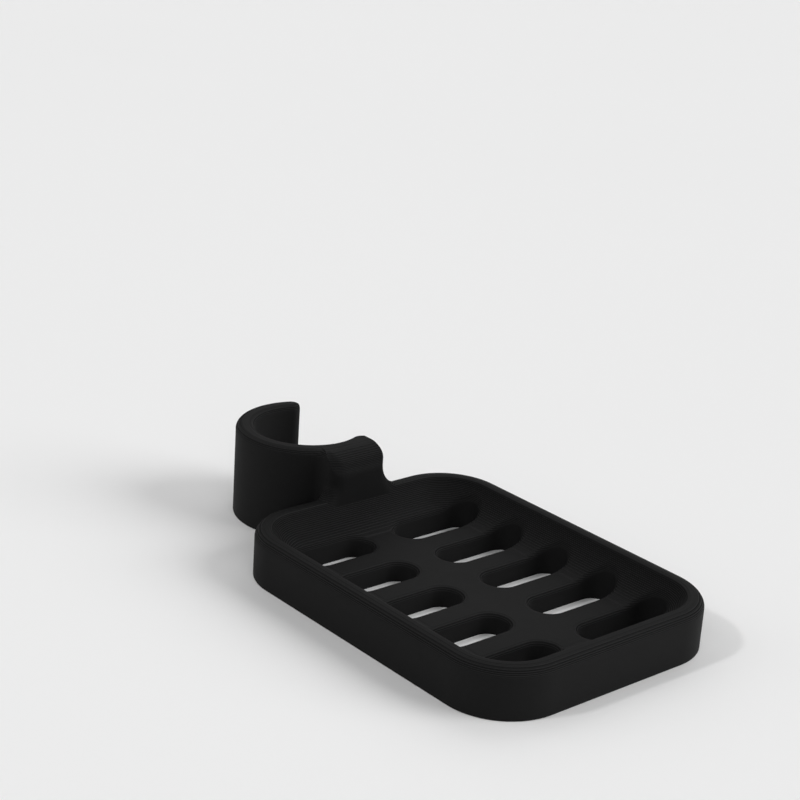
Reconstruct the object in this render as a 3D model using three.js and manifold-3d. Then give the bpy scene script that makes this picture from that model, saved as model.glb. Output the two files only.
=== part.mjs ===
// Soap holder for a bathroom rail: a drained tray with a C-shaped snap clip on one short side.
// The real holder is a single print. Here it is three regions that meet face to face: the tray,
// the neck with the clip's fixed jaw, and the clip's springy arm, which opens about its back.
// Millimetres, +Z up. X runs along the tray with the clip at -X, and the clip's mouth faces +Y.
// The origin is the middle of the footprint, at the bottom.

import * as THREE from "three";
import { mergeVertices } from "three/addons/utils/BufferGeometryUtils.js";
import Module from "manifold-3d";

const wasm = await Module();
wasm.setup();

// The tray, centred on its own origin.
const TRAY = {
  length: 120,
  width: 90,
  height: 15.4,
  corner: 19.7, // plan radius of the outer corners
  footEdge: 0.5, // rounding of the bottom edge
  rimOuter: 3, // rounding of the rim's outer edge
  rimInner: 1.2, // rounding of the rim's inner edge
};

// The hollow for the soap: one deep cove sweeps from the rim to a flat floor.
const POCKET = {
  inset: 3.3, // where the cove would stand upright, in from the tray's outline
  cove: 16.2, // radius of the sweep
  floor: 6.35, // height of the floor's top face
};

// Drain slots with round ends, in two columns on either side of a middle spine.
const SLOTS = {
  rows: 5,
  pitch: 20.2,
  width: 10.8,
  near: 5.65, // near end, from the middle line
  far: 36.7, // far end, which runs up into the cove
  edge: 1.8, // rounding of the top edge
};

// The open ring that snaps on the rail, with its axis upright.
const CLIP = {
  x: -81.8, // the ring's axis, on the tray's middle line
  bore: 16.5, // radius of the rail's hole
  wall: 6,
  height: 30,
  edge: 2, // rounding of the top edges
  footEdge: 0.5, // rounding of the bottom edges
  tip: 149.2, // end of the free arm, degrees from +X
  back: 270, // where the arm bends, degrees from +X
  slit: 0.3, // gap between the arm and the fixed part
};

// The block that stands on the tray's rim and carries the ring and its fixed jaw.
const NECK = {
  front: -54.5, // x of the front face
  halfWidth: 9.75,
  corner: 2.85, // plan rounding of the front corners
  crown: 7, // rounding of the top front edge
  edge: 1.1, // rounding of the top side edges
  flare: 8.3, // fillet from the sides down to the rim
  throat: 5, // plan fillet between the ring's back and the neck
  jaw: 3, // round end of the fixed jaw
  root: 0.3, // how far the flare's foot runs into the rim
  seat: 0.02, // gap to the tray
};

// How finely the curves are cut.
const STEPS = {
  corner: 9,
  cove: 9,
  rim: 5,
  edge: 3,
  slotEnd: 10,
  slotEdge: 4,
  ring: 6, // degrees
  tip: 7,
  top: 14,
  flare: 6,
};

const PLASTIC = { color: 0x1d1d1e, roughness: 0.72, metalness: 0 };

const RING = CLIP.bore + CLIP.wall;
const rad = THREE.MathUtils.degToRad;
const clamp = THREE.MathUtils.clamp;

/** Evenly spaced numbers from one value to another, both included. */
function spread(from, to, steps) {
  return Array.from({ length: steps + 1 }, (_, i) => from + ((to - from) * i) / steps);
}

/** The unit vector at an angle in radians. */
function heading(angle) {
  return new THREE.Vector2(Math.cos(angle), Math.sin(angle));
}

/** A closed skin through rings of equal length, shut at both ends. */
function loft(rings) {
  const count = rings[0].length;
  const last = rings.length - 1;
  const points = rings.flat();
  const index = [];
  for (let i = 0; i < last; i++) {
    for (let j = 0; j < count; j++) {
      const k = (j + 1) % count;
      const [a, b, c, d] = [i * count + j, i * count + k, (i + 1) * count + k, (i + 1) * count + j];
      index.push(a, b, c, a, c, d);
    }
  }
  for (const [i, start] of [[0, true], [last, false]]) {
    const middle = new THREE.Vector3();
    rings[i].forEach((p) => middle.addScaledVector(p, 1 / count));
    const hub = points.push(middle) - 1;
    for (let j = 0; j < count; j++) {
      const [a, b] = [i * count + j, i * count + ((j + 1) % count)];
      index.push(hub, start ? b : a, start ? a : b);
    }
  }
  return new THREE.BufferGeometry().setFromPoints(points).setIndex(index);
}

/** A closed geometry as a solid that can be cut. */
function solid(geometry) {
  const merged = mergeVertices(geometry, 1e-4);
  return new wasm.Manifold(
    new wasm.Mesh({
      numProp: 3,
      vertProperties: new Float32Array(merged.getAttribute("position").array),
      triVerts: new Uint32Array(merged.index.array),
    }),
  );
}

/** A solid as a named mesh in the holder's plastic. */
function mesh(name, body) {
  const { vertProperties, triVerts } = body.getMesh();
  const geometry = new THREE.BufferGeometry()
    .setAttribute("position", new THREE.BufferAttribute(new Float32Array(vertProperties), 3))
    .setIndex(new THREE.BufferAttribute(new Uint32Array(triVerts), 1))
    .toNonIndexed();
  geometry.computeVertexNormals();
  const made = new THREE.Mesh(geometry, new THREE.MeshStandardMaterial(PLASTIC));
  made.name = name;
  return made;
}

// Tray

const COVE_INSET = POCKET.inset + POCKET.cove;
const COVE_HEIGHT = POCKET.floor + POCKET.cove;

/** The tray's outline set in by a distance: all its corners turn about the same four centres. */
function contour(inset, z) {
  const x = TRAY.length / 2 - TRAY.corner;
  const y = TRAY.width / 2 - TRAY.corner;
  const centres = [[x, y], [-x, y], [-x, -y], [x, -y]];
  return centres.flatMap(([cx, cy], quarter) =>
    spread(rad(90 * quarter), rad(90 * quarter + 90), STEPS.corner).map((a) => {
      const at = heading(a).multiplyScalar(TRAY.corner - inset);
      return new THREE.Vector3(cx + at.x, cy + at.y, z);
    }),
  );
}

/** The tray without its slots. As a seat it is grown by a gap and its wall runs on downwards. */
function trayBlank(gap = 0) {
  const { height, footEdge, rimOuter, rimInner } = TRAY;
  const drop = COVE_HEIGHT - height + rimInner;
  const lip = COVE_INSET - Math.sqrt((POCKET.cove + rimInner) ** 2 - drop ** 2);
  const meet = Math.atan2(drop, COVE_INSET - lip);
  const profile = [];
  const sweep = (inset, z, radius, from, to, steps) =>
    spread(from, to, steps).forEach((a) =>
      profile.push([inset + radius * Math.cos(a), z + radius * Math.sin(a)]),
    );
  if (gap > 0) profile.push([-gap, -footEdge]);
  else sweep(footEdge, footEdge, footEdge, 1.5 * Math.PI, Math.PI, STEPS.edge);
  sweep(rimOuter, height - rimOuter, rimOuter + gap, Math.PI, Math.PI / 2, STEPS.rim);
  sweep(lip, height - rimInner, rimInner + gap, Math.PI / 2, meet, STEPS.edge);
  sweep(COVE_INSET, COVE_HEIGHT, POCKET.cove - gap, Math.PI + meet, 1.5 * Math.PI, STEPS.cove);
  return solid(loft(profile.map(([inset, z]) => contour(inset, z))));
}

/** Height of the pocket's surface over a point of the plan. */
function pocketHeight(x, y) {
  const dx = Math.abs(x) - TRAY.length / 2 + TRAY.corner;
  const dy = Math.abs(y) - TRAY.width / 2 + TRAY.corner;
  const inset = TRAY.corner - (dx > 0 && dy > 0 ? Math.hypot(dx, dy) : Math.max(dx, dy));
  const run = clamp(COVE_INSET - inset, 0, POCKET.cove);
  return COVE_HEIGHT - Math.sqrt(POCKET.cove ** 2 - run ** 2);
}

/** What a drain slot takes away: a long hole whose top edge is rolled over along the pocket. */
function slotCutter(row, column) {
  const half = SLOTS.width / 2;
  const x = row * SLOTS.pitch;
  const [low, high] = [SLOTS.near + half, SLOTS.far - half];
  const foot = TRAY.width / 2 - COVE_INSET;
  const side = [...spread(low, foot, 2).slice(1), ...spread(foot, high, 3).slice(1, -1)];
  const round = (y, from) =>
    spread(from, from + Math.PI, STEPS.slotEnd).map((a) => {
      const out = heading(a);
      return { at: new THREE.Vector2(x, y).addScaledVector(out, half), out };
    });
  const straight = (sign, ys) =>
    ys.map((y) => ({ at: new THREE.Vector2(x + sign * half, y), out: new THREE.Vector2(sign, 0) }));
  const outline = [
    ...straight(1, side),
    ...round(high, 0),
    ...straight(-1, [...side].reverse()),
    ...round(low, Math.PI),
  ];
  const rolled = (t) =>
    outline.map(({ at, out }) => {
      const far = at.clone().addScaledVector(out, SLOTS.edge);
      const top = pocketHeight(at.x, at.y);
      const bend = new THREE.QuadraticBezierCurve3(
        new THREE.Vector3(at.x, at.y, top - SLOTS.edge),
        new THREE.Vector3(at.x, at.y, top),
        new THREE.Vector3(far.x, far.y, pocketHeight(far.x, far.y)),
      );
      return bend.getPoint(t);
    });
  const edge = spread(0, 1, STEPS.slotEdge).map(rolled);
  const [before, end] = edge.slice(-2);
  end.forEach((p, i) => p.addScaledVector(p.clone().sub(before[i]), 0.3));
  const foundation = edge[0].map((p) => new THREE.Vector3(p.x, p.y, -1));
  const opening = end.map((p) => new THREE.Vector3(p.x, p.y, TRAY.height + 3));
  const geometry = loft([foundation, ...edge, opening]);
  return solid(column < 0 ? geometry.rotateZ(Math.PI) : geometry);
}

function soapTray() {
  let body = trayBlank();
  for (const column of [-1, 1]) {
    for (const row of spread(-(SLOTS.rows - 1) / 2, (SLOTS.rows - 1) / 2, SLOTS.rows - 1)) {
      body = body.subtract(slotCutter(row, column));
    }
  }
  return body;
}

// Clip and neck: sections that stand on lines through the ring's axis, swept round from the free
// tip to the fixed jaw. Each one runs from the bore to the outline in plan.

const AXIS = new THREE.Vector2(CLIP.x, 0);
const RIM_STEP = [0.1, 0.6]; // the flare starts this far in from the back wall, and within this

/** Where a line from the ring's axis enters and leaves a circle. */
function crossing(angle, centre, radius) {
  const u = heading(angle);
  const to = centre.clone().sub(AXIS);
  const along = u.dot(to);
  const half = Math.sqrt(Math.max(along ** 2 - to.lengthSq() + radius ** 2, 0));
  return [along - half, along + half].map((s) => AXIS.clone().addScaledVector(u, s));
}

/** Sections through a round end, from its last sliver to its full width. */
function roundEnd(centre, radius, sign, neck) {
  const to = centre.clone().sub(AXIS);
  const reach = Math.asin(radius / to.length());
  return spread(rad(85), 0, STEPS.tip).map((a) => {
    const [inner, outer] = crossing(to.angle() + sign * reach * Math.sin(a), centre, radius);
    const away = (p) => p.clone().sub(centre).divideScalar(radius);
    return { inner, outer, inward: away(inner), outward: away(outer), neck };
  });
}

/** A section that starts on the bore and ends at a point of the outline. */
function fromBore(outer, outward, neck) {
  const u = outer.clone().sub(AXIS).normalize();
  const inner = AXIS.clone().addScaledVector(u, CLIP.bore);
  return { inner, outer, inward: u.negate(), outward, neck };
}

/** Sections on the plain ring between two angles in degrees. */
function ringStations(from, to) {
  const steps = Math.ceil((to - from) / STEPS.ring);
  return spread(rad(from), rad(to), steps).map((a) =>
    fromBore(AXIS.clone().addScaledVector(heading(a), RING), heading(a), 0),
  );
}

/** The springy arm, from its round tip to the slit at the ring's back. */
function armStations() {
  const middle = CLIP.bore + CLIP.wall / 2;
  const reach = Math.asin(CLIP.wall / 2 / middle);
  const full = rad(CLIP.tip) + reach;
  const tip = AXIS.clone().addScaledVector(heading(full), middle);
  const slit = THREE.MathUtils.radToDeg(CLIP.slit / 2 / middle);
  return [
    ...roundEnd(tip, CLIP.wall / 2, -1, 0),
    ...ringStations(THREE.MathUtils.radToDeg(full), CLIP.back - slit).slice(1),
  ];
}

/** The fixed part: a quarter of the ring, the throat, the neck's outline and the jaw. */
function neckStations() {
  const { front, halfWidth, corner, throat, jaw } = NECK;
  const slit = THREE.MathUtils.radToDeg(CLIP.slit / 2 / (CLIP.bore + CLIP.wall / 2));
  const throatY = -halfWidth - throat;
  const throatX = CLIP.x + Math.sqrt((RING + throat) ** 2 - throatY ** 2);
  const leave = 360 + THREE.MathUtils.radToDeg(Math.atan2(throatY, throatX - CLIP.x));
  const stations = ringStations(CLIP.back + slit, leave);
  const turn = spread(rad(leave - 180), Math.PI / 2, 9).slice(1);
  turn.forEach((a, i) => {
    const u = heading(a);
    const at = new THREE.Vector2(throatX, throatY).addScaledVector(u, throat);
    stations.push(fromBore(at, u.negate(), (i + 1) / turn.length));
  });

  const jawY = halfWidth - jaw;
  const jawX = CLIP.x + Math.sqrt((CLIP.bore + jaw) ** 2 - jawY ** 2);
  const tip = new THREE.Vector2(jawX, jawY);
  const boreEnds = tip.clone().sub(AXIS).angle();
  const around = (outer, outward) => {
    const station = fromBore(outer, outward, 1);
    const angle = outer.clone().sub(AXIS).angle();
    if (angle > boreEnds && angle < Math.PI / 2) {
      station.inner = crossing(angle, tip, jaw)[0];
      station.inward = station.inner.clone().sub(tip).divideScalar(jaw);
    }
    stations.push(station);
  };
  const bend = (y, from) =>
    spread(from, from + Math.PI / 2, 5).forEach((a) => {
      const u = heading(a);
      around(new THREE.Vector2(front - corner, y).addScaledVector(u, corner), u);
    });
  bend(corner - halfWidth, -Math.PI / 2);
  for (const y of spread(corner - halfWidth, halfWidth - corner, 6).slice(1, -1)) {
    around(new THREE.Vector2(front, y), new THREE.Vector2(1, 0));
  }
  bend(halfWidth - corner, 0);
  const wall = -TRAY.length / 2 + RIM_STEP[0];
  for (const x of [...spread(front - corner, wall + RIM_STEP[1], 2).slice(1), wall]) {
    around(new THREE.Vector2(x, halfWidth), new THREE.Vector2(0, 1));
  }
  for (const station of roundEnd(tip, jaw, 1, 1).reverse()) {
    const u = station.outer.clone().sub(AXIS);
    const onSide = AXIS.x + (u.x * halfWidth) / u.y;
    if (u.y < 0 || onSide > wall - 0.3) continue;
    if (onSide > jawX) {
      station.outer.set(onSide, halfWidth);
      station.outward.set(0, 1);
    }
    stations.push(station);
  }
  return stations;
}

/** Height of the rim over the tray's back wall, which falls off over the rounded outer edge. */
function rimHeight(x) {
  const inset = clamp(x + TRAY.length / 2, 0, TRAY.rimOuter);
  const short = TRAY.rimOuter - inset;
  return TRAY.height - TRAY.rimOuter + Math.sqrt(TRAY.rimOuter ** 2 - short ** 2);
}

/** How far a rounded edge has fallen at a distance in from the wall. */
function fall(distance, radius) {
  const short = Math.max(radius - distance, 0);
  return radius - Math.sqrt(Math.max(radius ** 2 - short ** 2, 0));
}

/** One section: over the top from the bore outwards, down the wall and back along the bottom. */
function section({ inner, outer, inward, outward, neck }) {
  const across = outer.clone().sub(inner);
  const length = across.length();
  const u = across.clone().normalize();
  const square = [Math.max(-inward.dot(u), 0.15), Math.max(outward.dot(u), 0.15)];
  const outerEdge = THREE.MathUtils.lerp(CLIP.edge, NECK.edge * outward.y ** 2, neck);
  const falls = (s, inEdge, outEdge) =>
    Math.max(fall(s * length * square[0], inEdge), fall((1 - s) * length * square[1], outEdge));
  const at = (s, z) => {
    const p = inner.clone().addScaledVector(across, s);
    return new THREE.Vector3(p.x, p.y, z);
  };
  const top = (s) => {
    const past = Math.max(at(s, 0).x - NECK.front + NECK.crown, 0);
    const crown = NECK.crown - Math.sqrt(Math.max(NECK.crown ** 2 - past ** 2, 0));
    return CLIP.height - crown - falls(s, CLIP.edge, outerEdge);
  };
  const bottom = (s) => falls(s, CLIP.footEdge, CLIP.footEdge);
  const shares = spread(0, Math.PI, STEPS.top).map((a) => (1 - Math.cos(a)) / 2);
  const loop = shares.map((s) => at(s, top(s)));
  const onRim = THREE.MathUtils.smoothstep(
    outer.x + TRAY.length / 2 - RIM_STEP[0],
    0,
    RIM_STEP[1],
  );
  const lean = Math.sign(outward.y) * Math.sqrt(Math.abs(outward.y));
  const reach = neck * onRim * lean * (NECK.halfWidth + NECK.flare - Math.abs(outer.y));
  const flared = (share, z) => new THREE.Vector3(outer.x, outer.y + share * reach, z);
  const foot = rimHeight(outer.x) - NECK.root;
  const shoulder = Math.min(TRAY.height + NECK.flare, loop[loop.length - 1].z - 0.2);
  for (const a of spread(0, Math.PI / 2, STEPS.flare)) {
    loop.push(flared(1 - Math.cos(a), foot + (shoulder - foot) * (1 - Math.sin(a))));
  }
  loop.push(flared(1, TRAY.height / 3));
  const back = [0, 0.3, 1].map((share) => Math.min((share * CLIP.footEdge) / length, 0.45));
  back.forEach((s) => loop.push(at(1 - s, bottom(1 - s))));
  [...back].reverse().forEach((s) => loop.push(at(s, bottom(s))));
  return loop;
}

// The holder

const parts = new THREE.Group();
const swept = (stations) => solid(loft(stations.map(section)));
parts.add(mesh("soap_tray", soapTray()));
parts.add(mesh("clip_neck", swept(neckStations()).subtract(trayBlank(NECK.seat))));
parts.add(mesh("clip_arm", swept(armStations())));
parts.position.x = -(CLIP.x - RING + TRAY.length / 2) / 2;

const holder = new THREE.Group();
holder.add(parts);

export default holder;
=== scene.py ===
"""Looks for a clip-on soap holder: a drained tray with a snap clip for a bathroom rail.

The tray and the clip are modelled in millimetres about the tray's own centre and are moved to the
frame's origin, in metres, when they are done. The clip is one unbroken strip of plastic, baked in
place and tied to none of the frame's bodies.
"""

import logging
import math
from dataclasses import dataclass, field
from enum import Enum
from typing import Callable, Iterable, NamedTuple, Union

import bmesh
import bpy
from bmesh.types import BMEdge, BMesh, BMVert
from mathutils import Matrix, Vector


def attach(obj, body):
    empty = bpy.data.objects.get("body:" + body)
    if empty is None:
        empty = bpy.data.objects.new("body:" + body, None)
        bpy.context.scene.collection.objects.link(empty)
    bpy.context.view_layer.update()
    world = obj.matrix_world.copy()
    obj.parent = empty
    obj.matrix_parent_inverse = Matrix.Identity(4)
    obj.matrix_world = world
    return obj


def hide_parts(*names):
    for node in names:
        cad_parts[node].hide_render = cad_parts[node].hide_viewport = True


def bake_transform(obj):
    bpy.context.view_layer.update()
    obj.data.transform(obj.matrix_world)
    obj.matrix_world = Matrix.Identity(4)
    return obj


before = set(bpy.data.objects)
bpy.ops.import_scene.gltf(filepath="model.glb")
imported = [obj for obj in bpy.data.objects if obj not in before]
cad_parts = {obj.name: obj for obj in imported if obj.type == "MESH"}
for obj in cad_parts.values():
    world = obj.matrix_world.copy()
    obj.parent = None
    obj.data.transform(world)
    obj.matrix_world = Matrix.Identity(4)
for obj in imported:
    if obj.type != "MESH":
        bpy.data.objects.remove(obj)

log = logging.getLogger("soap_holder")

MM = 0.001
TINY = 1e-6
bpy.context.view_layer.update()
Number = Union[int, float]
Colour = tuple[float, float, float]


class Body(str, Enum):
    """The bodies of the frame that pieces follow."""

    HOLDER = "holder"
    SPRING = "clip_spring"


class Node(str, Enum):
    """The solids that the pieces stand for."""

    TRAY = "soap_tray"
    NECK = "clip_neck"
    ARM = "clip_arm"


# Shader maths


class Value:
    """A shader socket that can be used in Python expressions."""

    def __init__(self, graph: "Graph", socket: bpy.types.NodeSocket) -> None:
        """Wraps a socket of a graph.

        Args:
            graph: The graph that new nodes go into.
            socket: The output that this value stands for.
        """
        self.graph = graph
        self.socket = socket

    def _math(self, operation: str, *others: Union["Value", Number]) -> "Value":
        """Adds a Math node on this value and up to two others."""
        inputs = {i: v for i, v in enumerate((self, *others))}
        return self.graph.node("ShaderNodeMath", {"operation": operation}, inputs)

    def _reflected(self, operation: str, other: Number) -> "Value":
        """Adds a Math node whose first number is a plain one."""
        return self.graph.node("ShaderNodeMath", {"operation": operation}, {0: other, 1: self})

    def __add__(self, other: Union["Value", Number]) -> "Value":
        """This value plus another."""
        return self._math("ADD", other)

    def __radd__(self, other: Number) -> "Value":
        """A number plus this value."""
        return self._reflected("ADD", other)

    def __sub__(self, other: Union["Value", Number]) -> "Value":
        """This value less another."""
        return self._math("SUBTRACT", other)

    def __rsub__(self, other: Number) -> "Value":
        """A number less this value."""
        return self._reflected("SUBTRACT", other)

    def __mul__(self, other: Union["Value", Number]) -> "Value":
        """This value times another."""
        return self._math("MULTIPLY", other)

    def __rmul__(self, other: Number) -> "Value":
        """A number times this value."""
        return self._reflected("MULTIPLY", other)

    def __truediv__(self, other: Union["Value", Number]) -> "Value":
        """This value divided by another."""
        return self._math("DIVIDE", other)

    def __abs__(self) -> "Value":
        """This value without its sign."""
        return self._math("ABSOLUTE")

    def fraction(self) -> "Value":
        """What is left over after whole numbers are taken off."""
        return self._math("FRACT")

    def power(self, exponent: Number) -> "Value":
        """This value raised to a power."""
        return self._math("POWER", exponent)

    def between(self, low: Number, high: Number) -> "Value":
        """This value kept between two numbers."""
        return self._math("MAXIMUM", low)._math("MINIMUM", high)

    def eased(self, low: Union["Value", Number], high: Union["Value", Number]) -> "Value":
        """A smooth rise from 0 to 1 between two values.

        Args:
            low: Where the rise starts.
            high: Where it ends.

        Returns:
            The eased value.
        """
        return self.graph.node(
            "ShaderNodeMapRange",
            {"interpolation_type": "SMOOTHSTEP"},
            {"Value": self, "From Min": low, "From Max": high},
        )


class Graph:
    """The node tree of one material, with one way to add nodes."""

    def __init__(self, name: str) -> None:
        """Starts a material with an empty tree.

        Args:
            name: The material's name.
        """
        self.material = bpy.data.materials.new(name)
        self.material.use_nodes = True
        self.tree = self.material.node_tree
        self.tree.nodes.clear()

    def node(
        self,
        kind: str,
        settings: dict[str, object] | None = None,
        inputs: dict[Union[str, int], object] | None = None,
        output: Union[str, int] = 0,
    ) -> Value:
        """Adds a node and gives one of its outputs.

        Args:
            kind: The node's type.
            settings: Properties that are set before the sockets.
            inputs: Values or links by socket name or number.
            output: The output to give back.

        Returns:
            The output as a value.
        """
        made = self.tree.nodes.new(kind)
        for key, setting in (settings or {}).items():
            setattr(made, key, setting)
        for key, given in (inputs or {}).items():
            if isinstance(given, Value):
                self.tree.links.new(given.socket, made.inputs[key])
            else:
                made.inputs[key].default_value = given
        socket = made.outputs[output] if len(made.outputs) else None
        return Value(self, socket)

    def noise(self, place: Value, scale: float, detail: float, roughness: float) -> Value:
        """A cloudy pattern over a place."""
        inputs = {"Vector": place, "Scale": scale, "Detail": detail, "Roughness": roughness}
        return self.node("ShaderNodeTexNoise", inputs=inputs)

    def mix(self, share: Value, first: object, second: object) -> Value:
        """A colour between two others."""
        inputs = {"Factor": share, "A": first, "B": second}
        return self.node("ShaderNodeMix", {"data_type": "RGBA"}, inputs, "Result")


class Lines(NamedTuple):
    """What the layers of a print do to its surface: relief, painted shade in the inner corners and
    a painted highlight on the lips.
    """

    relief: Value
    # Where painted shade darkens the steps' inner corners.
    groove: Value
    # Where a painted highlight makes the steps' outer lips paler.
    lip: Value


@dataclass(frozen=True)
class LayeredPrint:
    """Matt plastic laid down in level layers, whose steps show where a surface leans.

    Attributes:
        lip_highlight: Painted highlight: a paler colour on the steps' outer lips, where light would
            catch them.
        layer: Height of one layer.
        phase: Where the first layer starts, as a share of a layer.
        wobble: How far the lines wander, as a share of a layer.
        riser: How much of a layer's height a riser takes on a slope of 45 degrees.
        step: Height of a step, as a share of a layer.
        depth: How strongly painted shade darkens the steps' inner corners.
        bead: How far each layer bulges on an upright face.
        give: Keeps a division by the lean from running away.
    """

    name: str = "black_print"
    shade: Colour = (0.0058, 0.0058, 0.0059)
    dusty: Colour = (0.0066, 0.0066, 0.0067)
    lip_highlight: Colour = (0.019, 0.019, 0.0193)
    roughness: float = 0.70
    roughness_swing: float = 0.02
    specular: float = 0.12
    groove_roughness: float = 0.9
    groove_specular: float = 0.01
    layer: float = 0.449 * MM
    phase: float = 0.125
    wobble: float = 0.05
    wobble_scale: float = 60.0
    riser: float = 0.30 * MM
    riser_limits: tuple[float, float] = (0.06, 0.7)
    groove_limits: tuple[float, float] = (0.06, 0.25)
    lip_width: float = 0.4
    step: float = 0.7
    depth: float = 0.80
    bead: float = 0.010 * MM
    level_fade: float = 0.01
    step_fade: tuple[float, float] = (0.10, 0.55)
    line_fade: tuple[float, float] = (0.03, 0.35)
    give: float = 0.1
    grain_scale: float = 2600.0
    grain_height: float = 0.010 * MM
    dust_scale: float = 130.0
    dust_range: tuple[float, float] = (0.35, 0.75)

    def _lines(self, g: Graph, place: Value) -> Lines:
        """Works out the level steps from the height and the lean of the surface.

        Each layer shows as a flat tread and a riser. The riser takes more of the step where the
        surface is steep, and both fade out on level and upright faces.

        Args:
            g: The material's graph.
            place: The place on the piece.

        Returns:
            The height of the steps, the painted shade of their inner corners and the painted
            highlight of their outer lips.
        """
        height = g.node("ShaderNodeSeparateXYZ", inputs={0: place}, output="Z")
        facing = g.node("ShaderNodeTexCoord", output="Normal")
        lean = abs(g.node("ShaderNodeSeparateXYZ", inputs={0: facing}, output="Z"))
        wander = g.noise(place, self.wobble_scale, detail=2.0, roughness=0.5)
        along = (height / self.layer + (wander - 0.5) * self.wobble + self.phase).fraction()

        steep = (1.0 - lean * lean).power(0.5) / (lean + self.give)
        share = (steep * (self.riser / self.layer)).between(*self.riser_limits)
        corner = 1.0 - share
        off_level = (1.0 - lean).eased(0.0, self.level_fade)

        tread = along.eased(corner, 1.0) - along
        sloped = off_level * lean.eased(*self.step_fade)
        rise = tread * sloped * lean / (lean * lean + self.give) * (self.layer * self.step)
        bulge = 1.0 - (along * 2.0 - 1.0).power(2.0)
        relief = rise + bulge * (1.0 - lean) * self.bead

        shown = off_level * lean.eased(*self.line_fade)
        # Painted shade: mask of the steps' inner corners.
        dark = 1.0 - abs(along - corner).eased(0.0, share.between(*self.groove_limits))
        # Painted highlight: mask of the steps' outer lips, which take a paler colour.
        lip = (1.0 - (1.0 - along).eased(0.0, self.lip_width)) * shown
        return Lines(relief, dark * shown * self.depth, lip)

    def material(self) -> bpy.types.Material:
        """Builds the material.

        Returns:
            The finished material.
        """
        g = Graph(self.name)
        place = g.node("ShaderNodeTexCoord", output="Object")
        lines = self._lines(g, place)
        grain = g.noise(place, self.grain_scale, detail=2.0, roughness=0.6)
        relief = lines.relief + grain * self.grain_height
        normal = g.node(
            "ShaderNodeBump",
            inputs={"Strength": 1.0, "Distance": 1.0, "Height": relief},
        )

        cloud = g.noise(place, self.dust_scale, detail=4.0, roughness=0.6)
        dust = cloud.eased(*self.dust_range)
        shade = g.mix(dust, (*self.shade, 1.0), (*self.dusty, 1.0))
        # Painted highlight: the steps' outer lips take the paler colour.
        shade = g.mix(lines.lip, shade, (*self.lip_highlight, 1.0))
        rough = self.roughness - self.roughness_swing + dust * (2.0 * self.roughness_swing)
        surface = g.node(
            "ShaderNodeBsdfPrincipled",
            inputs={
                "Base Color": shade,
                "Roughness": rough,
                "Specular IOR Level": self.specular,
                "Normal": normal,
            },
        )
        # Painted shade: a dull, barely reflecting copy of the surface, mixed in to darken the
        # steps' inner corners.
        hollow = g.node(
            "ShaderNodeBsdfPrincipled",
            inputs={
                "Base Color": shade,
                "Roughness": self.groove_roughness,
                "Specular IOR Level": self.groove_specular,
            },
        )
        lined = g.node("ShaderNodeMixShader", inputs={0: lines.groove, 1: surface, 2: hollow})
        g.node("ShaderNodeOutputMaterial", inputs={"Surface": lined})
        return g.material


# Mesh helpers


def spread(low: float, high: float, steps: int) -> list[float]:
    """Evenly spaced numbers, both ends included.

    Args:
        low: The first number.
        high: The last number.
        steps: How many gaps there are.

    Returns:
        The numbers in order.
    """
    return [low + (high - low) * i / steps for i in range(steps + 1)]


def heading(angle: float) -> Vector:
    """The flat unit vector at an angle in radians."""
    return Vector((math.cos(angle), math.sin(angle)))


def smooth(low: float, high: float, value: float) -> float:
    """A smooth rise from 0 to 1 between two numbers."""
    t = min(max((value - low) / (high - low), 0.0), 1.0)
    return t * t * (3.0 - 2.0 * t)


def grow(bm: BMesh, edges: Iterable[BMEdge]) -> tuple[list[BMVert], list[BMEdge]]:
    """Extrudes a loop of edges in place.

    Args:
        bm: The mesh.
        edges: The loop to extrude.

    Returns:
        The new loop's vertices and edges, for the caller to move.
    """
    made = bmesh.ops.extrude_edge_only(bm, edges=list(edges))["geom"]
    verts = [g for g in made if isinstance(g, BMVert)]
    fresh = set(verts)
    loop = [g for g in made if isinstance(g, BMEdge) and fresh.issuperset(g.verts)]
    return verts, loop


def finished(bm: BMesh, name: str, shift: float, sharp: float = 40.0) -> bpy.types.Object:
    """Closes a mesh's work: turns faces out, sets shading and moves it to the frame.

    Args:
        bm: The mesh in millimetres.
        name: The object's name.
        shift: How far the tray's centre stands from the frame's origin along X.
        sharp: Edges over this angle in degrees stay crisp.

    Returns:
        The object, at the origin.
    """
    bmesh.ops.recalc_face_normals(bm, faces=bm.faces[:])
    limit = math.radians(sharp)
    for face in bm.faces:
        face.smooth = True
    for edge in bm.edges:
        edge.smooth = edge.calc_face_angle(0.0) < limit
    place = Matrix.Scale(MM, 4) @ Matrix.Translation((shift, 0.0, 0.0))
    bmesh.ops.transform(bm, matrix=place, verts=bm.verts[:])
    mesh = bpy.data.meshes.new(name)
    bm.to_mesh(mesh)
    bm.free()
    made = bpy.data.objects.new(name, mesh)
    bpy.context.scene.collection.objects.link(made)
    return made


# Tray


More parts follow.
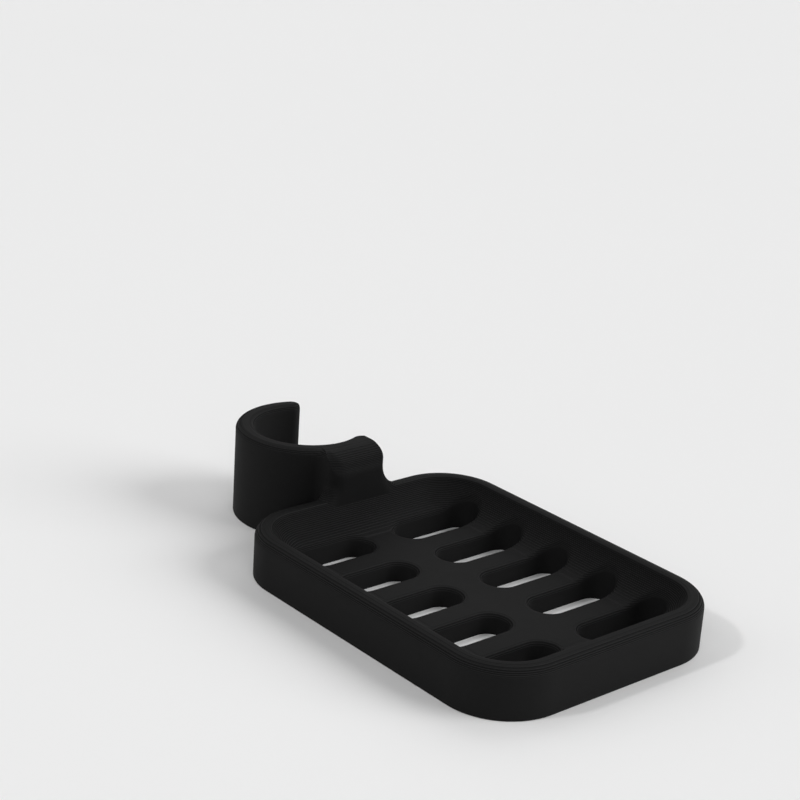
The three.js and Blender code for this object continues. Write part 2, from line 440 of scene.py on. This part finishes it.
@dataclass
class SoapTray:
    """The drained tray: a rounded oblong with a deep coved pocket and two columns of slots.

    Attributes:
        pocket_inset: Where the cove would stand upright, in from the outline.
        slot_near: A slot's inner end, from the tray's middle line.
        slot_far: A slot's outer end, from the tray's middle line.
        slot_edge: Radius of a slot's rolled edge.
        halvings: How often the search for the pocket's border halves its range.
        weld: Points closer than this become one.
        near: Points closer than this to the pocket's border lie on it.
        lip: Where the rim's flat top ends, in from the outline.
        meet: The angle at which the rim's inner rounding meets the cove.
        brim: Where the two meet, in from the outline.
    """

    length: float = 120.0
    width: float = 90.0
    height: float = 15.4
    corner: float = 19.7
    foot_edge: float = 0.5
    rim_outer: float = 3.0
    rim_inner: float = 1.2
    pocket_inset: float = 3.3
    cove: float = 16.2
    floor: float = 6.35
    slot_rows: int = 5
    slot_pitch: float = 20.2
    slot_width: float = 10.8
    slot_near: float = 5.65
    slot_far: float = 36.7
    slot_edge: float = 1.5
    ring_segments: int = 64
    side_cuts: int = 17
    slot_wall_steps: int = 4
    slot_edge_steps: int = 7
    floor_steps: int = 9
    rim_inner_steps: int = 6
    rim_outer_steps: int = 12
    wall_steps: int = 5
    foot_steps: int = 4
    halvings: int = 50
    weld: float = 0.002
    near: float = 0.01
    lip: float = field(init=False)
    meet: float = field(init=False)
    brim: float = field(init=False)

    def __post_init__(self) -> None:
        """Works out where the rim's inner rounding meets the cove."""
        drop = self.cove_height - self.height + self.rim_inner
        reach = math.sqrt((self.cove + self.rim_inner) ** 2 - drop**2)
        self.lip = self.cove_inset - reach
        self.meet = math.atan2(drop, reach)
        self.brim = self.lip + self.rim_inner * math.cos(self.meet)

    @property
    def cove_inset(self) -> float:
        """Where the cove reaches the floor, in from the outline."""
        return self.pocket_inset + self.cove

    @property
    def cove_height(self) -> float:
        """Height of the middle of the cove's sweep."""
        return self.floor + self.cove

    def inset(self, x: float, y: float) -> float:
        """How far a point of the plan lies in from the outline.

        Args:
            x: The point along the tray.
            y: The point across the tray.

        Returns:
            The distance, which is below 0 outside.
        """
        dx = abs(x) - self.length / 2 + self.corner
        dy = abs(y) - self.width / 2 + self.corner
        far = math.hypot(dx, dy) if dx > 0 and dy > 0 else max(dx, dy)
        return self.corner - far

    def pocket(self, x: float, y: float) -> float:
        """Height of the pocket's surface over a point of the plan."""
        run = min(max(self.cove_inset - self.inset(x, y), 0.0), self.cove)
        return self.cove_height - math.sqrt(self.cove**2 - run**2)

    def rim(self, inset: float) -> float:
        """Height of the rim's surface.

        Args:
            inset: The distance in from the outline.

        Returns:
            The height there, on down the cove past the rim.
        """
        if inset < self.rim_outer:
            short = self.rim_outer - max(inset, 0.0)
            return self.height - self.rim_outer + math.sqrt(self.rim_outer**2 - short**2)
        if inset < self.lip:
            return self.height
        if inset < self.brim:
            past = inset - self.lip
            return self.height - self.rim_inner + math.sqrt(self.rim_inner**2 - past**2)
        run = self.cove_inset - inset
        return self.cove_height - math.sqrt(max(self.cove**2 - run**2, 0.0))

    def profile(self) -> list[tuple[float, float]]:
        """The section from the cove's top over the rim and down the wall.

        Returns:
            Points as inset and height.
        """
        points: list[tuple[float, float]] = []

        def sweep(inset: float, z: float, radius: float, a: float, b: float, n: int) -> None:
            """Adds an arc between two angles in degrees, without its first point."""
            for angle in spread(math.radians(a), math.radians(b), n)[1:]:
                points.append((inset + radius * math.cos(angle), z + radius * math.sin(angle)))

        inner = self.height - self.rim_inner
        start = math.degrees(self.meet)
        sweep(self.lip, inner, self.rim_inner, start, 90.0, self.rim_inner_steps)
        points.append(((self.lip + self.rim_outer) / 2, self.height))
        points.append((self.rim_outer, self.height))
        outer = self.height - self.rim_outer
        sweep(self.rim_outer, outer, self.rim_outer, 90.0, 180.0, self.rim_outer_steps)
        for z in spread(outer, self.foot_edge, self.wall_steps)[1:]:
            points.append((0.0, z))
        sweep(self.foot_edge, self.foot_edge, self.foot_edge, 180.0, 270.0, self.foot_steps)
        return points

    def _goal(self, at: Vector, out: Vector, row: int) -> Vector:
        """Where a line from a slot's edge leaves the patch of floor around that slot.

        Args:
            at: The point on the slot's edge.
            out: The direction away from the slot.
            row: The slot's row, counted from the middle.

        Returns:
            The point on the patch's border.
        """
        last = self.slot_rows // 2
        reach: list[float] = []
        side = self.slot_pitch * (row + math.copysign(0.5, out.x))
        inner = row < last if out.x > 0 else row > -last
        if abs(out.x) > TINY and inner:
            reach.append((side - at.x) / out.x)
        if out.y < -TINY:
            reach.append(-at.y / out.y)
        low, high = 0.0, self.length
        for _ in range(self.halvings):
            middle = (low + high) / 2
            there = at + out * middle
            if self.inset(there.x, there.y) > self.brim:
                low = middle
            else:
                high = middle
        reach.append(low)
        return at + out * min(reach)

    def _patch_corners(self, row: int) -> list[Vector]:
        """The sharp corners of the patch of floor around a slot.

        Args:
            row: The slot's row, counted from the middle.

        Returns:
            The corners in plan.
        """
        last = self.slot_rows // 2
        top = self.width / 2 - self.brim
        end = self.length / 2 - self.brim
        corners: list[Vector] = []
        for side in (-1, 1):
            if row * side < last:
                x = self.slot_pitch * (row + side / 2)
                corners += [Vector((x, 0.0)), Vector((x, top))]
            else:
                corners.append(Vector((side * end, 0.0)))
        return corners

    def _slot_ring(self, bm: BMesh, row: int) -> list[BMVert]:
        """Lays the outline of one slot and notes where each of its points may go.

        Args:
            bm: The mesh to add to.
            row: The slot's row, counted from the middle.

        Returns:
            The outline's vertices.
        """
        home = bm.verts.layers.float_vector["home"]
        away = bm.verts.layers.float_vector["away"]
        goal = bm.verts.layers.float_vector["goal"]
        half = self.slot_width / 2
        stretch = (self.slot_far - self.slot_near) / 2 - half
        centre = Vector((row * self.slot_pitch, (self.slot_far + self.slot_near) / 2))
        turn = Matrix.Rotation(math.pi / self.ring_segments, 4, "Z")
        round_hole = bmesh.ops.create_circle(
            bm, cap_ends=False, segments=self.ring_segments, radius=half, matrix=turn
        )["verts"]
        rim = {e for v in round_hole for e in v.link_edges}
        sides = [e for e in rim if e.verts[0].co.y * e.verts[1].co.y < 0]
        for v in round_hole:
            v.co.y += math.copysign(stretch, v.co.y)
        bmesh.ops.subdivide_edges(bm, edges=sides, cuts=self.side_cuts)
        ring = [v for v in bm.verts if not v.link_faces]
        for v in ring:
            end = min(max(v.co.y, -stretch), stretch)
            out = Vector((v.co.x, v.co.y - end)).normalized()
            at = v.co.xy + centre
            v[home] = (at.x, at.y, 0.0)
            v[away] = (out.x, out.y, 0.0)
            v[goal] = (*self._goal(at, out, row), 0.0)
        for corner in self._patch_corners(row):
            nearest = min(ring, key=lambda v: (v[goal].xy - corner).length)
            nearest[goal] = (corner.x, corner.y, 0.0)
        return ring

    def _slot(self, bm: BMesh, row: int) -> None:
        """Makes one slot with its rolled edge, its wall and the patch of floor around it.

        Args:
            bm: The mesh to add to.
            row: The slot's row, counted from the middle.
        """
        ring = self._slot_ring(bm, row)
        home = bm.verts.layers.float_vector["home"]
        away = bm.verts.layers.float_vector["away"]
        goal = bm.verts.layers.float_vector["goal"]

        def rolled(v: BMVert, t: float) -> Vector:
            """A point on the rolled edge.

            Args:
                v: The vertex.
                t: The share of the way from the wall to the floor.

            Returns:
                The vertex's place.
            """
            turn = t * math.pi / 2
            flat = v[home].xy + v[away].xy * (self.slot_edge * (1.0 - math.cos(turn)))
            fallen = self.slot_edge * (1.0 - math.sin(turn))
            return Vector((flat.x, flat.y, self.pocket(flat.x, flat.y) - fallen))

        def level(v: BMVert, share: float) -> Vector:
            """A point on the floor between the rolled edge and the patch's border."""
            flat = (v[home].xy + v[away].xy * self.slot_edge).lerp(v[goal].xy, share)
            return Vector((flat.x, flat.y, self.pocket(flat.x, flat.y)))

        def wall(v: BMVert, share: float) -> Vector:
            """A point on the slot's upright wall, from the rolled edge down to the bottom."""
            top = self.pocket(v[home].x, v[home].y) - self.slot_edge
            return Vector((v[home].x, v[home].y, top * (1.0 - share)))

        for v in ring:
            v.co = rolled(v, 0.0)
        loop = list({e for v in ring for e in v.link_edges})
        self._rings(bm, loop, wall, self.slot_wall_steps)
        loop = self._rings(bm, loop, rolled, self.slot_edge_steps)
        self._rings(bm, loop, level, self.floor_steps)

    @staticmethod
    def _rings(
        bm: BMesh,
        loop: list[BMEdge],
        place: Callable[[BMVert, float], Vector],
        steps: int,
    ) -> list[BMEdge]:
        """Extrudes a loop step by step, with each new ring put in its place.

        Args:
            bm: The mesh.
            loop: The loop to start from.
            place: Gives a vertex's place for a share of the way.
            steps: How many rings there are.

        Returns:
            The last loop.
        """
        for share in spread(0.0, 1.0, steps)[1:]:
            verts, loop = grow(bm, loop)
            for v in verts:
                v.co = place(v, share)
        return loop

    def _wall(self, bm: BMesh) -> None:
        """Carries the pocket's border over the rim, down the outer wall and under the foot.

        Args:
            bm: The mesh, with all patches of floor joined.
        """
        home = bm.verts.layers.float_vector["home"]
        away = bm.verts.layers.float_vector["away"]

        def on_brim(v: BMVert) -> bool:
            """Whether a vertex lies on the pocket's border."""
            return abs(self.inset(*v.co.xy) - self.brim) < self.near

        loop = [e for e in bm.edges if e.is_boundary and all(on_brim(v) for v in e.verts)]
        for v in {v for e in loop for v in e.verts}:
            dx = max(abs(v.co.x) - self.length / 2 + self.corner, 0.0)
            dy = max(abs(v.co.y) - self.width / 2 + self.corner, 0.0)
            out = Vector((math.copysign(dx, v.co.x), math.copysign(dy, v.co.y))).normalized()
            v[home] = v.co
            v[away] = (out.x, out.y, 0.0)
        for inset, z in self.profile():
            verts, loop = grow(bm, loop)
            for v in verts:
                flat = v[home].xy + v[away].xy * (self.brim - inset)
                v.co = (flat.x, flat.y, z)

    def build(self, shift: float) -> bpy.types.Object:
        """Models the tray.

        Args:
            shift: How far the tray's centre stands from the frame's origin along X.

        Returns:
            The tray's object.
        """
        bm = bmesh.new()
        for name in ("home", "away", "goal"):
            bm.verts.layers.float_vector.new(name)
        last = self.slot_rows // 2
        for row in range(-last, last + 1):
            self._slot(bm, row)
        bmesh.ops.remove_doubles(bm, verts=bm.verts[:], dist=self.weld)
        whole = bm.verts[:] + bm.edges[:] + bm.faces[:]
        bmesh.ops.mirror(bm, geom=whole, axis="Y", merge_dist=self.weld)
        self._wall(bm)
        holes = [e for e in bm.edges if e.is_boundary]
        bmesh.ops.triangle_fill(bm, edges=holes, use_beauty=True, normal=(0.0, 0.0, -1.0))
        return finished(bm, "tray_print", shift)

    def dress(self, tray: bpy.types.Object, finish: bpy.types.Material) -> None:
        """Gives the tray its finish and ties it to the frame.

        Args:
            tray: The tray's object.
            finish: Its material.
        """
        tray.data.materials.append(finish)
        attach(tray, Body.HOLDER.value)
        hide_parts(Node.TRAY.value)


# Clip


class Station(NamedTuple):
    """One upright section of the clip, on a line through the ring's axis."""

    inner: Vector
    outer: Vector
    inward: Vector
    outward: Vector
    neck: float


@dataclass
class RailClip:
    """The open ring for the rail, with the neck that carries it on the tray's rim.

    Left and right are as seen from the tray. The ring's mouth is on the right.

    Attributes:
        x: The ring's axis, from the tray's centre.
        tip: The angle of the free tip, in degrees round the ring's axis.
        soft: Extra rounding on the neck's left front corner.
        throat: Radius of the hollow between ring and neck.
        jaw: Radius of the fixed jaw's round tip.
        root: How deep the neck's foot sinks into the rim.
        bite: How far in from the tray's outline the foot starts to climb the rim.
        climb: The distance in which it climbs.
        spacing: The least distance from the tray's end to the next section outside it.
        hidden_from: How far in from the outline the neck's bottom is inside the tray.
        bend: Half the length of the ring's back that bends.
        sliver: The turn of a round end's first section, in degrees.
        slant_limit: The least share of a slanting section that counts as depth from the wall.
    """

    tray: SoapTray
    x: float = -81.8
    bore: float = 16.5
    wall: float = 6.0
    height: float = 30.0
    edge: float = 2.0
    foot_edge: float = 0.5
    tip: float = 149.2
    neck_front: float = -54.0
    neck_left: float = 9.75
    neck_right: float = 10.6
    corner_left: float = 4.6
    corner_right: float = 2.85
    neck_crown: float = 7.5
    edge_left: float = 1.1
    edge_right: float = 1.2
    soft: float = 3.0
    flare_left: float = 5.0
    flare_right: float = 8.3
    throat: float = 5.0
    jaw: float = 3.0
    root: float = 0.3
    bite: float = 0.1
    climb: float = 0.6
    spacing: float = 0.3
    hidden_from: float = 0.3
    shoulder_drop: float = 0.2
    bend: float = 10.0
    sliver: float = 88.0
    slant_limit: float = 0.15
    ring_step: float = 2.5
    tip_steps: int = 15
    throat_steps: int = 18
    side_steps: int = 3
    corner_steps: int = 12
    front_steps: int = 12
    run_steps: int = 4
    top_steps: int = 26
    flare_steps: int = 14
    outer_foot_steps: int = 5
    inner_foot_steps: int = 8

    @property
    def axis(self) -> Vector:
        """The ring's axis in plan."""
        return Vector((self.x, 0.0))

    @property
    def ring(self) -> float:
        """The ring's outer radius."""
        return self.bore + self.wall

    def _crossing(self, angle: float, centre: Vector, radius: float) -> tuple[Vector, Vector]:
        """Where a line from the ring's axis enters and leaves a circle.

        Args:
            angle: The line's direction in radians.
            centre: The circle's middle.
            radius: The circle's radius.

        Returns:
            The near point and the far point.
        """
        u = heading(angle)
        to = centre - self.axis
        along = u.dot(to)
        half = math.sqrt(max(along**2 - to.length_squared + radius**2, 0.0))
        return self.axis + u * (along - half), self.axis + u * (along + half)

    def _round_end(self, centre: Vector, radius: float, sign: int, neck: float) -> list[Station]:
        """Sections through a round end.

        Args:
            centre: The middle of the round end.
            radius: Its radius.
            sign: 1 if the end points anticlockwise round the ring's axis, or -1.
            neck: How far the sections belong to the neck.

        Returns:
            The sections, from the last sliver to the full width.
        """
        to = centre - self.axis
        base = math.atan2(to.y, to.x)
        reach = math.asin(radius / to.length)
        made: list[Station] = []
        for a in spread(math.radians(self.sliver), 0.0, self.tip_steps):
            near, far = self._crossing(base + sign * reach * math.sin(a), centre, radius)
            made.append(Station(near, far, (near - centre) / radius, (far - centre) / radius, neck))
        return made

    def _from_bore(self, outer: Vector, outward: Vector, neck: float) -> Station:
        """A section from the bore to a point of the outline."""
        u = (outer - self.axis).normalized()
        return Station(self.axis + u * self.bore, outer, -u, outward, neck)

    def _ring_part(self, low: float, high: float) -> list[Station]:
        """Sections on the plain ring.

        Args:
            low: The first angle in degrees.
            high: The last angle in degrees.

        Returns:
            The sections in order.
        """
        steps = math.ceil((high - low) / self.ring_step)
        made: list[Station] = []
        for a in spread(math.radians(low), math.radians(high), steps):
            u = heading(a)
            made.append(self._from_bore(self.axis + u * self.ring, u, 0.0))
        return made

    def _arm(self, throat: Vector) -> list[Station]:
        """Sections of the ring, from its free tip round the back and through the throat.

        Args:
            throat: The middle of the hollow between ring and neck.

        Returns:
            The sections in order.
        """
        middle = self.bore + self.wall / 2
        full = math.radians(self.tip) + math.asin(self.wall / 2 / middle)
        tip = self.axis + heading(full) * middle
        made = self._round_end(tip, self.wall / 2, -1, 0.0)
        leave = 360.0 + math.degrees(math.atan2(throat.y, throat.x - self.x))
        made += self._ring_part(math.degrees(full), leave)[1:]
        turn = spread(math.radians(leave - 180.0), math.pi / 2, self.throat_steps)[1:]
        for i, a in enumerate(turn):
            u = heading(a)
            made.append(self._from_bore(throat + u * self.throat, -u, (i + 1) / len(turn)))
        return made

    def _neck(self, start: float) -> list[Station]:
        """Sections of the neck, from its left side round the front to the jaw's tip.

        Args:
            start: Where the left side leaves the throat, along X.

        Returns:
            The sections in order.
        """
        made: list[Station] = []
        jaw_y = self.neck_right - self.jaw
        jaw_x = self.x + math.sqrt((self.bore + self.jaw) ** 2 - jaw_y**2)
        jaw_tip = Vector((jaw_x, jaw_y))
        bore_ends = math.atan2(jaw_y, jaw_x - self.x)

        def around(outer: Vector, outward: Vector) -> None:
            """Adds a section, which ends on the jaw's round tip where the bore has ended.

            Args:
                outer: The point of the outline.
                outward: The direction away from the neck there.
            """
            station = self._from_bore(outer, outward, 1.0)
            angle = math.atan2(outer.y, outer.x - self.x)
            if angle > bore_ends:
                near, _ = self._crossing(angle, jaw_tip, self.jaw)
                station = station._replace(inner=near, inward=(near - jaw_tip) / self.jaw)
            made.append(station)

        def turn(y: float, radius: float, low: float) -> None:
            """Adds the sections of one front corner.

            Args:
                y: The middle of the corner across the neck.
                radius: The corner's radius.
                low: The angle that it starts from, in radians.
            """
            for a in spread(low, low + math.pi / 2, self.corner_steps):
                u = heading(a)
                around(Vector((self.neck_front - radius, y)) + u * radius, u)

        low = self.corner_left - self.neck_left
        high = self.neck_right - self.corner_right
        for x in spread(start, self.neck_front - self.corner_left, self.side_steps)[1:-1]:
            around(Vector((x, -self.neck_left)), Vector((0.0, -1.0)))
        turn(low, self.corner_left, -math.pi / 2)
        for y in spread(low, high, self.front_steps)[1:-1]:
            around(Vector((self.neck_front, y)), Vector((1.0, 0.0)))
        turn(high, self.corner_right, 0.0)
        wall = self.bite - self.tray.length / 2
        runs = spread(self.neck_front - self.corner_right, wall + self.climb, self.run_steps)[1:]
        for x in runs + spread(wall + self.climb, wall, self.side_steps)[1:]:
            around(Vector((x, self.neck_right)), Vector((0.0, 1.0)))
        for station in reversed(self._round_end(jaw_tip, self.jaw, 1, 1.0)):
            u = station.outer - self.axis
            side = self.x + u.x * self.neck_right / u.y
            if side > wall - self.spacing:
                continue
            if side > jaw_x:
                place = Vector((side, self.neck_right))
                station = station._replace(outer=place, outward=Vector((0.0, 1.0)))
            made.append(station)
        return made

    def stations(self) -> list[Station]:
        """All sections, from the free tip round the back to the fixed jaw.

        Returns:
            The sections in order.
        """
        throat_y = -self.neck_left - self.throat
        throat_x = self.x + math.sqrt((self.ring + self.throat) ** 2 - throat_y**2)
        return self._arm(Vector((throat_x, throat_y))) + self._neck(throat_x)

    @staticmethod
    def _fall(distance: float, radius: float) -> float:
        """How far a rounded edge has fallen at a distance in from the wall."""
        short = max(radius - distance, 0.0)
        return radius - math.sqrt(max(radius**2 - short**2, 0.0))

    def _outer_edge(self, s: Station) -> float:
        """The rounding of the top's outer edge, softer on the neck's left front corner.

        Args:
            s: The section's place.

        Returns:
            The radius there.
        """
        on_left = s.outward.y < 0.0
        neck_edge = (self.edge_left if on_left else self.edge_right) * s.outward.y**2
        if on_left and s.outward.x > 0.0:
            neck_edge += self.soft * abs(2.0 * s.outward.x * s.outward.y)
        return self.edge + (neck_edge - self.edge) * s.neck

    def section(self, s: Station) -> list[Vector]:
        """The outline of one section.

        Args:
            s: The section's place.

        Returns:
            Points over the top from the bore outwards, down the wall and back along the bottom.
        """
        across = s.outer - s.inner
        length = across.length
        u = across.normalized()
        square_in = max(-s.inward.dot(u), self.slant_limit)
        square_out = max(s.outward.dot(u), self.slant_limit)
        outer_edge = self._outer_edge(s)

        def falls(share: float, inner: float, outer: float) -> float:
            """How far the rounded edges have fallen at a share of the way across."""
            return max(
                self._fall(share * length * square_in, inner),
                self._fall((1.0 - share) * length * square_out, outer),
            )

        def at(share: float, z: float) -> Vector:
            """A point of the section."""
            p = s.inner + across * share
            return Vector((p.x, p.y, z))

        def top(share: float) -> float:
            """Height of the top, with the neck's front edge rolled over.

            Args:
                share: The share of the way across.

            Returns:
                The height there.
            """
            past = max(at(share, 0.0).x - self.neck_front + self.neck_crown, 0.0)
            crown = self._fall(self.neck_crown - past, self.neck_crown)
            return self.height - crown - falls(share, self.edge, outer_edge)

        def foot(share: float) -> float:
            """Height of the bottom at a share of the way across."""
            return falls(share, self.foot_edge, self.foot_edge)

        shares = [(1.0 - math.cos(a)) / 2 for a in spread(0.0, math.pi, self.top_steps)]
        loop = [at(share, top(share)) for share in shares]
        loop += self._side(s, loop[-1].z)

        sunk = self.hidden_from - self.tray.length / 2
        hidden = s.neck > 0.0 and s.outer.x > sunk
        split = (sunk - s.inner.x) / across.x if hidden else 0.5
        for share in spread(1.0, split, self.outer_foot_steps):
            depth = self.tray.rim(at(share, 0.0).x + self.tray.length / 2) - self.root
            near = 1.0 - (1.0 - share) ** 2 / max(1.0 - split, TINY)
            loop.append(at(share, depth) if hidden else at(near, foot(near)))
        for share in spread(split, 0.0, self.inner_foot_steps):
            near = share**2 / split
            under = self._fall(near * length * square_in, self.foot_edge)
            loop.append(at(near, under if hidden else foot(near)))
        return loop

    def _side(self, s: Station, top: float) -> list[Vector]:
        """The outer wall of one section, with the neck's flare where it stands on the rim.

        Args:
            s: The section's place.
            top: Height of the wall's upper end.

        Returns:
            Points down the wall.
        """
        on_left = s.outward.y < 0.0
        half = self.neck_left if on_left else self.neck_right
        flare = self.flare_left if on_left else self.flare_right
        inset = s.outer.x + self.tray.length / 2
        on_rim = smooth(self.bite, self.bite + self.climb, inset)
        lean = math.copysign(math.sqrt(abs(s.outward.y)), s.outward.y)
        reach = s.neck * on_rim * lean * (half + flare - abs(s.outer.y))
        foot = self.tray.rim(inset) - self.root
        shoulder = min(self.tray.height + flare, top - self.shoulder_drop)
        made: list[Vector] = []
        for a in spread(0.0, math.pi / 2, self.flare_steps):
            y = s.outer.y + (1.0 - math.cos(a)) * reach
            z = foot + (shoulder - foot) * (1.0 - math.sin(a))
            made.append(Vector((s.outer.x, y, z)))
        return made

    def build(self, shift: float) -> bpy.types.Object:
        """Models the clip as one strip, section after section.

        Args:
            shift: How far the tray's centre stands from the frame's origin along X.

        Returns:
            The clip's object.
        """
        sections = [self.section(s) for s in self.stations()]
        count = len(sections[0])
        bm = bmesh.new()
        order = bm.verts.layers.int.new("order")
        first = bmesh.ops.create_circle(bm, cap_ends=True, segments=count, radius=1.0)["verts"]
        for i, v in enumerate(sorted(first, key=lambda v: math.atan2(v.co.y, v.co.x))):
            v[order] = i
            v.co = sections[0][i]
        loop = list({e for v in first for e in v.link_edges})
        for section in sections[1:]:
            verts, loop = grow(bm, loop)
            for v in verts:
                v.co = section[v[order]]
        bmesh.ops.edgeloop_fill(bm, edges=loop)
        return finished(bm, "clip_print", shift)

    def dress(self, clip: bpy.types.Object, finish: bpy.types.Material, shift: float) -> None:
        """Gives the clip its finish, bakes its place into its mesh and hides the CAD nodes that it
        stands for.

        Args:
            clip: The clip's object.
            finish: Its material.
            shift: How far the tray's centre stands from the frame's origin along X.
        """
        clip.data.materials.append(finish)
        low = ((self.x + self.bend + shift) * MM, -self.ring * MM, self.height / 2 * MM)
        high = ((self.x - self.bend + shift) * MM, -self.ring * MM, self.height / 2 * MM)
        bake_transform(clip)
        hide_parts(Node.NECK.value, Node.ARM.value)


# Studio


@dataclass(frozen=True)
class PaleFloor:
    """A pale matt sweep that takes the holder's shadow."""

    name: str = "pale_floor"
    tone: Colour = (0.90, 0.90, 0.90)
    dimmest: float = 0.985
    cloud_scale: float = 3.0
    roughness: float = 0.9
    specular: float = 0.1

    def material(self) -> bpy.types.Material:
        """Builds the material.

        Returns:
            The finished material.
        """
        g = Graph(self.name)
        place = g.node("ShaderNodeTexCoord", output="Object")
        cloud = g.noise(place, self.cloud_scale, detail=2.0, roughness=0.5)
        dim = tuple(self.dimmest * c for c in self.tone)
        surface = g.node(
            "ShaderNodeBsdfPrincipled",
            inputs={
                "Base Color": g.mix(cloud, (*dim, 1.0), (*self.tone, 1.0)),
                "Roughness": self.roughness,
                "Specular IOR Level": self.specular,
            },
        )
        g.node("ShaderNodeOutputMaterial", inputs={"Surface": surface})
        return g.material


@dataclass(frozen=True)
class FarLamp:
    """A soft lamp far away: its direction in plan, height and width in degrees, and strength."""

    name: str
    toward: tuple[float, float]
    lift: float
    width: float
    power: float

    def build(self) -> bpy.types.Object:
        """Hangs the lamp.

        Returns:
            The lamp's object.
        """
        data = bpy.data.lights.new(self.name, "SUN")
        data.angle = math.radians(self.width)
        data.energy = self.power
        made = bpy.data.objects.new(self.name, data)
        lift = math.radians(self.lift)
        flat = Vector((*self.toward, 0.0)).normalized() * math.cos(lift)
        place = flat + Vector((0.0, 0.0, math.sin(lift)))
        turn = place.to_track_quat("Z", "Y").to_matrix().to_4x4()
        made.matrix_world = Matrix.Translation(place) @ turn
        bpy.context.scene.collection.objects.link(made)
        return made


@dataclass
class Studio:
    """Floor, light and camera.

    Attributes:
        picture: Width of the picture in pixels.
        aim: Where the middle of the tray falls in the picture, in pixels.
        aim_height: Height of the point in the tray's middle that is aimed at.
        sky: Strength of the room's even light.
    """

    azimuth: float = 48.78
    elevation: float = 20.03
    roll: float = 3.88
    distance: float = 550.49
    lens: float = 85.0
    sensor: float = 36.0
    sight_end: float = 20.0
    picture: float = 800.0
    aim: tuple[float, float] = (473.39, 575.31)
    aim_height: float = 10.0
    sky: float = 0.01
    floor_size: float = 6.0
    floor_cells: int = 8
    lamps: tuple[FarLamp, ...] = (
        FarLamp("window", (0.780, 0.626), 27.0, 40.0, 1.98),
        FarLamp("front", (0.752, -0.659), 35.0, 60.0, 0.92),
        FarLamp("left", (-0.659, -0.752), 35.0, 60.0, 0.70),
        FarLamp("back", (-0.752, 0.659), 35.0, 60.0, 0.64),
        FarLamp("far", (-0.066, 0.998), 45.0, 50.0, 0.48),
        FarLamp("corner", (-0.312, -0.950), 43.0, 5.0, 0.55),
    )

    def camera(self, shift: float) -> bpy.types.Object:
        """Sets up the camera so that the tray's centre falls on its place in the picture.

        Args:
            shift: How far the tray's centre stands from the frame's origin along X.

        Returns:
            The camera.
        """
        data = bpy.data.cameras.new("camera")
        data.lens = self.lens
        data.sensor_width = self.sensor
        data.clip_end = self.sight_end
        a, e, r = (math.radians(v) for v in (self.azimuth, self.elevation, self.roll))
        back = Vector((math.sin(a) * math.cos(e), -math.cos(a) * math.cos(e), math.sin(e)))
        level = Vector((math.cos(a), math.sin(a), 0.0))
        above = back.cross(level)
        right = level * math.cos(r) + above * math.sin(r)
        up = above * math.cos(r) - level * math.sin(r)
        focal = self.lens / self.sensor * self.picture
        sight = right * (self.aim[0] - self.picture / 2) - up * (self.aim[1] - self.picture / 2)
        target = Vector((shift, 0.0, self.aim_height))
        place = (target - (sight / focal - back) * self.distance) * MM
        made = bpy.data.objects.new("camera", data)
        turn = Matrix((right, up, back)).transposed().to_4x4()
        made.matrix_world = Matrix.Translation(place) @ turn
        bpy.context.scene.collection.objects.link(made)
        bpy.context.scene.camera = made
        return made

    def floor(self, finish: bpy.types.Material) -> bpy.types.Object:
        """Lays the floor.

        Args:
            finish: The floor's material.

        Returns:
            The floor's object.
        """
        bm = bmesh.new()
        cells = self.floor_cells
        bmesh.ops.create_grid(bm, x_segments=cells, y_segments=cells, size=self.floor_size)
        mesh = bpy.data.meshes.new("floor")
        bm.to_mesh(mesh)
        bm.free()
        made = bpy.data.objects.new("floor", mesh)
        made.data.materials.append(finish)
        bpy.context.scene.collection.objects.link(made)
        return made

    def light(self) -> None:
        """Sets the faint even light of the room and its soft lamps."""
        world = bpy.data.worlds.new("room")
        world.use_nodes = True
        shade = world.node_tree.nodes["Background"]
        shade.inputs["Color"].default_value = (1.0, 1.0, 1.0, 1.0)
        shade.inputs["Strength"].default_value = self.sky
        bpy.context.scene.world = world
        for lamp in self.lamps:
            lamp.build()

    def build(self, shift: float) -> None:
        """Sets the whole studio.

        Args:
            shift: How far the tray's centre stands from the frame's origin along X.
        """
        bpy.context.scene.view_settings.view_transform = "Standard"
        self.camera(shift)
        self.floor(PaleFloor().material())
        self.light()


def main() -> None:
    """Builds the tray, the clip and the studio in order."""
    logging.basicConfig(level=logging.INFO, format="%(name)s: %(message)s")
    tray = SoapTray()
    clip = RailClip(tray)
    shift = -(clip.x - clip.ring + tray.length / 2) / 2
    finish = LayeredPrint().material()
    tray_print = tray.build(shift)
    tray.dress(tray_print, finish)
    log.info("%s: %d faces", tray_print.name, len(tray_print.data.polygons))
    clip_print = clip.build(shift)
    clip.dress(clip_print, finish, shift)
    log.info("%s: %d faces", clip_print.name, len(clip_print.data.polygons))
    Studio().build(shift)
    log.info("studio: floor, lamps and camera")


if __name__ == "__main__":
    main()
